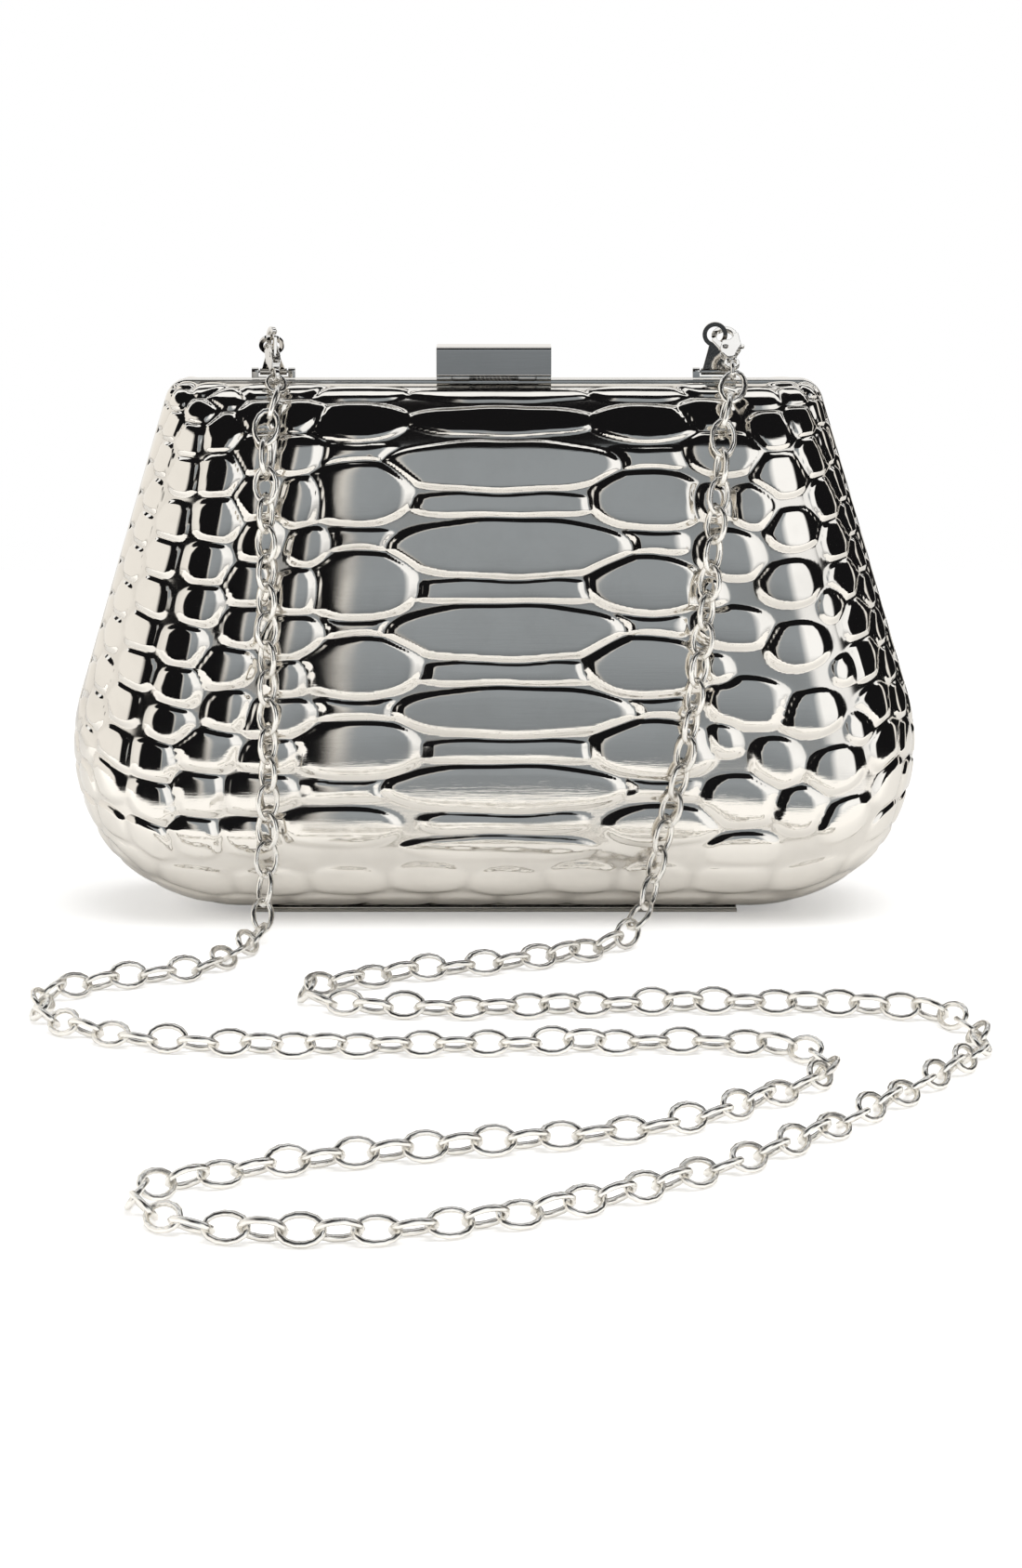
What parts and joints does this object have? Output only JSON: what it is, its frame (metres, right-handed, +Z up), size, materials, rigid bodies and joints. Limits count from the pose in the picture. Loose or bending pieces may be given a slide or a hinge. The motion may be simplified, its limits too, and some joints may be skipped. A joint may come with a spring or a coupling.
{
  "type": "hard metal clutch",
  "caption": "Hard metal evening clutch with scale-embossed halves, sprung top clasp, folding ears and a detachable chain strap.",
  "frame": {"origin": "middle of the base of the bag on its hinge line, without the strap", "axes": "+X to the right seen from the front, +Y to the back, +Z up"},
  "size_m": [0.1895, 0.2572, 0.1301],
  "materials": {
    "embossed_nickel": "pressed and embossed sheet with a mirror-bright nickel plate",
    "polished_nickel": "pressed brass sheet with a mirror-bright nickel plate",
    "smoked_nickel": "smooth polished plate with a darker nickel tone",
    "spring_steel": "plain drawn steel wire and pins",
    "chain_nickel": "bright nickel-toned oval cable links",
    "lining_cloth": "matt black woven lining on a thin tray"
  },
  "bodies": {
    "front_half": {"front_shell": "embossed_nickel", "front_frame": "polished_nickel", "front_lining": "lining_cloth", "front_hinge_leaf": "polished_nickel", "hinge_pin": "spring_steel", "clasp_base": "polished_nickel", "clasp_pin": "spring_steel", "clasp_spring": "spring_steel", "left_ear_bracket": "polished_nickel", "left_ear_pin": "spring_steel", "right_ear_bracket": "polished_nickel", "right_ear_pin": "spring_steel", "chain_strap": "chain_nickel"},
    "back_half": {"back_shell": "embossed_nickel", "back_frame": "polished_nickel", "back_lining": "lining_cloth", "back_hinge_leaf": "polished_nickel", "clasp_catch": "polished_nickel"},
    "clasp_lever": {"clasp_lever": "smoked_nickel"},
    "left_ear_and_claw": {"left_ear": "polished_nickel", "left_lobster_body": "polished_nickel", "left_gate_pin": "spring_steel", "left_gate_spring": "spring_steel", "left_jump_ring": "polished_nickel"},
    "right_ear_and_claw": {"right_ear": "polished_nickel", "right_lobster_body": "polished_nickel", "right_gate_pin": "spring_steel", "right_gate_spring": "spring_steel", "right_jump_ring": "polished_nickel"},
    "left_gate": {"left_gate": "polished_nickel"},
    "right_gate": {"right_gate": "polished_nickel"}
  },
  "joints": [
    {"name": "back_half_hinge", "type": "hinge", "parent": "front_half", "child": "back_half", "pos_m": [0, 0, 0.0013], "axis": [-1, 0, 0], "range_deg": [0, 45]},
    {"name": "clasp_lever_hinge", "type": "hinge", "parent": "front_half", "child": "clasp_lever", "pos_m": [0, -0.0039, 0.1183], "axis": [1, 0, 0], "range_deg": [0, 25], "stiffness_Nm_per_rad": 0.01, "springref_deg": -17.19},
    {"name": "left_ear_hinge", "type": "hinge", "parent": "front_half", "child": "left_ear_and_claw", "pos_m": [-0.0478, -0.0014, 0.1193], "axis": [1, 0, 0], "range_deg": [-6, 6]},
    {"name": "right_ear_hinge", "type": "hinge", "parent": "front_half", "child": "right_ear_and_claw", "pos_m": [0.0478, -0.0014, 0.1193], "axis": [1, 0, 0], "range_deg": [-6, 4]},
    {"name": "left_gate_hinge", "type": "hinge", "parent": "left_ear_and_claw", "child": "left_gate", "pos_m": [-0.04695, -0.01111, 0.12371], "axis": [-0.9383, -0.3394, 0.0664], "range_deg": [0, 18], "stiffness_Nm_per_rad": 0.0005, "springref_deg": -17.19},
    {"name": "right_gate_hinge", "type": "hinge", "parent": "right_ear_and_claw", "child": "right_gate", "pos_m": [0.04983, -0.0059, 0.12439], "axis": [0, 0.6382, -0.7699], "range_deg": [0, 18], "stiffness_Nm_per_rad": 0.0005, "springref_deg": -17.19}
  ]
}
